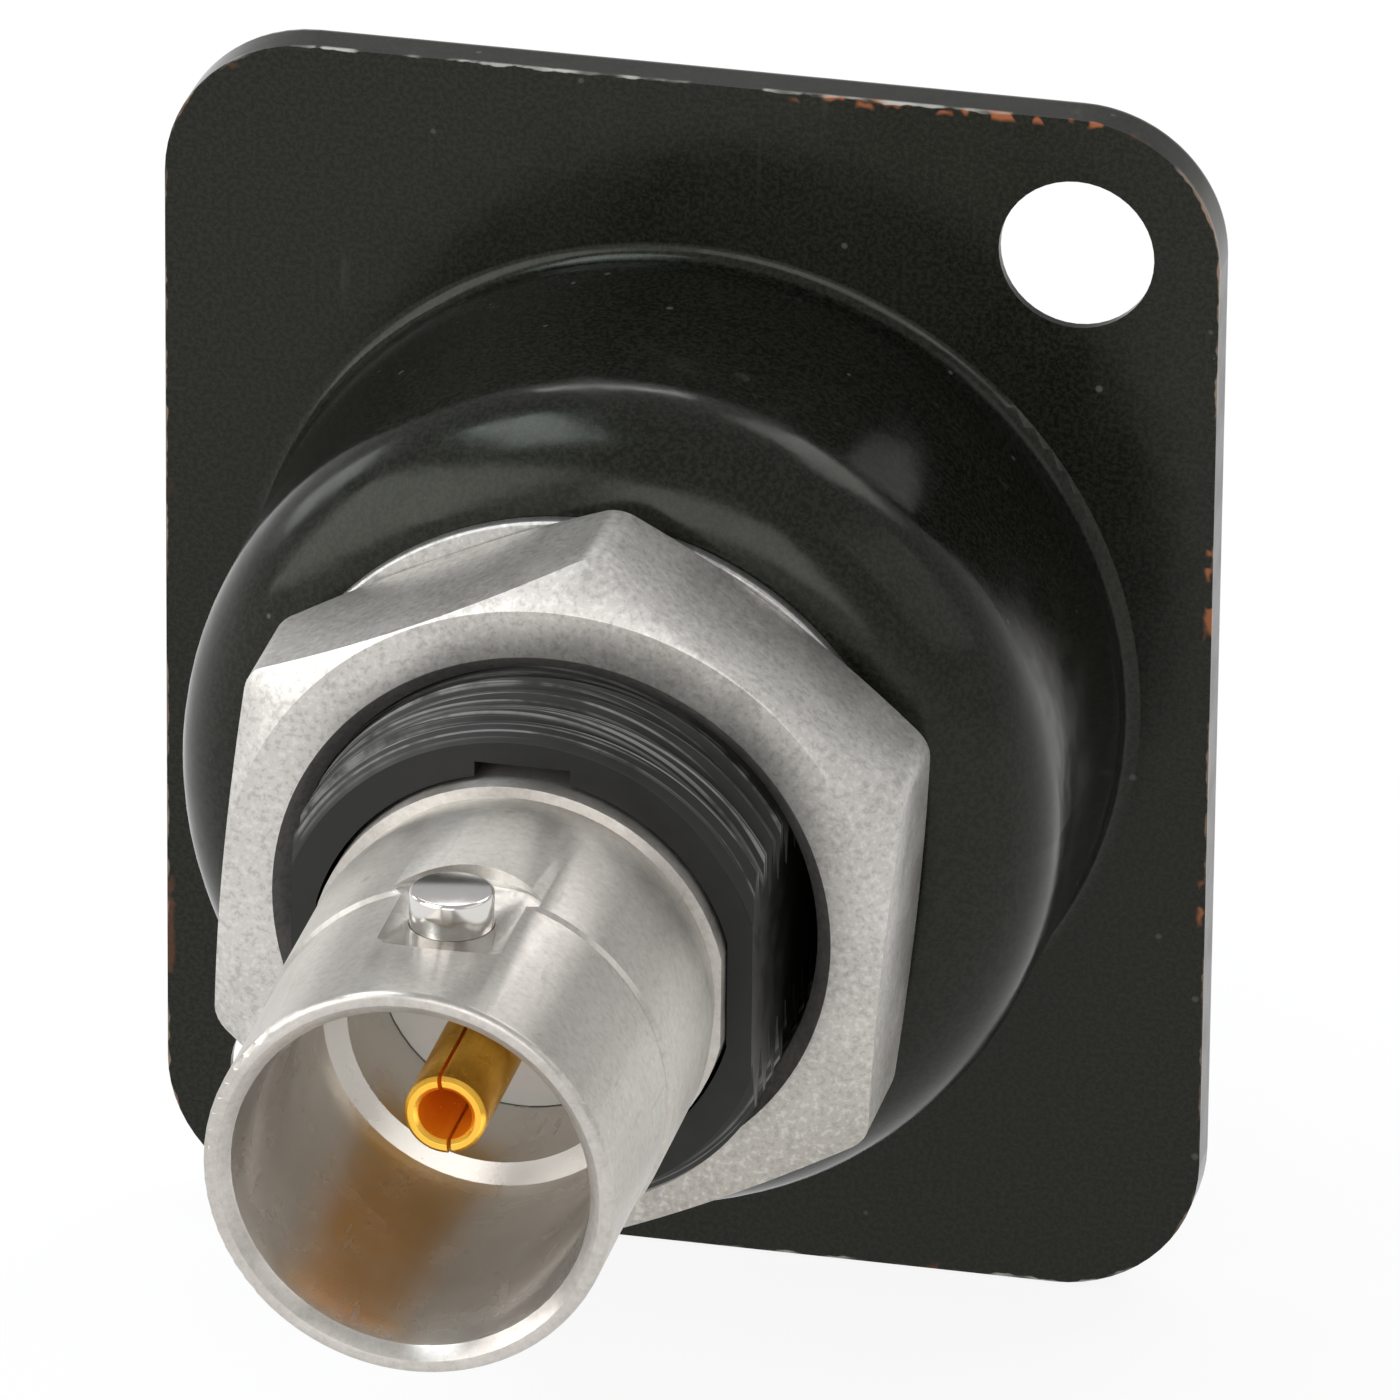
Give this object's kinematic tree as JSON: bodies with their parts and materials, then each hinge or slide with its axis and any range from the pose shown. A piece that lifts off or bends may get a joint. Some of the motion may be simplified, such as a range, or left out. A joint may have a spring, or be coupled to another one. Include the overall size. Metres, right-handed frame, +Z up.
{
  "type": "isolated bnc feed-through connector",
  "caption": "Bayonet coaxial feed-through connector with jacks at both ends, insulated from a black drawn rectangular flange by a threaded plastic bush and hexagon nut.",
  "frame": {"origin": "centre of the flange, on the connector's axis, in the plane of the flange's rear face, which lies on the panel", "axes": "+Y out of the panel towards the user, -Y into the rack; +Z up along the long side of the flange; +X to the right for someone who looks at the rear"},
  "size_m": [0.026, 0.0335, 0.031],
  "materials": {
    "black_paint": "satin black paint on drawn steel, chipped to bare and coppery metal along the rear edges",
    "black_plastic": "moulded black plastic, worn pale on the thread crests",
    "nickel_washer": "bright nickel plate",
    "nickel_nut": "satin nickel plate with a turned face",
    "nickel_jack": "satin nickel plate on turned brass",
    "nickel_lug": "bright nickel plate",
    "insulator": "milky white fluoroplastic",
    "gold_contact": "gold plate"
  },
  "bodies": {
    "root": {"flange_plate": "black_paint", "insulating_bush": "black_plastic", "flat_washer": "nickel_washer", "hex_nut": "nickel_nut", "rear_jack": "nickel_jack", "front_jack": "nickel_jack", "rear_lug_top": "nickel_lug", "rear_lug_bottom": "nickel_lug", "front_lug_top": "nickel_lug", "front_lug_bottom": "nickel_lug", "rear_insulator": "insulator", "front_insulator": "insulator", "centre_contact": "gold_contact"}
  },
  "joints": []
}
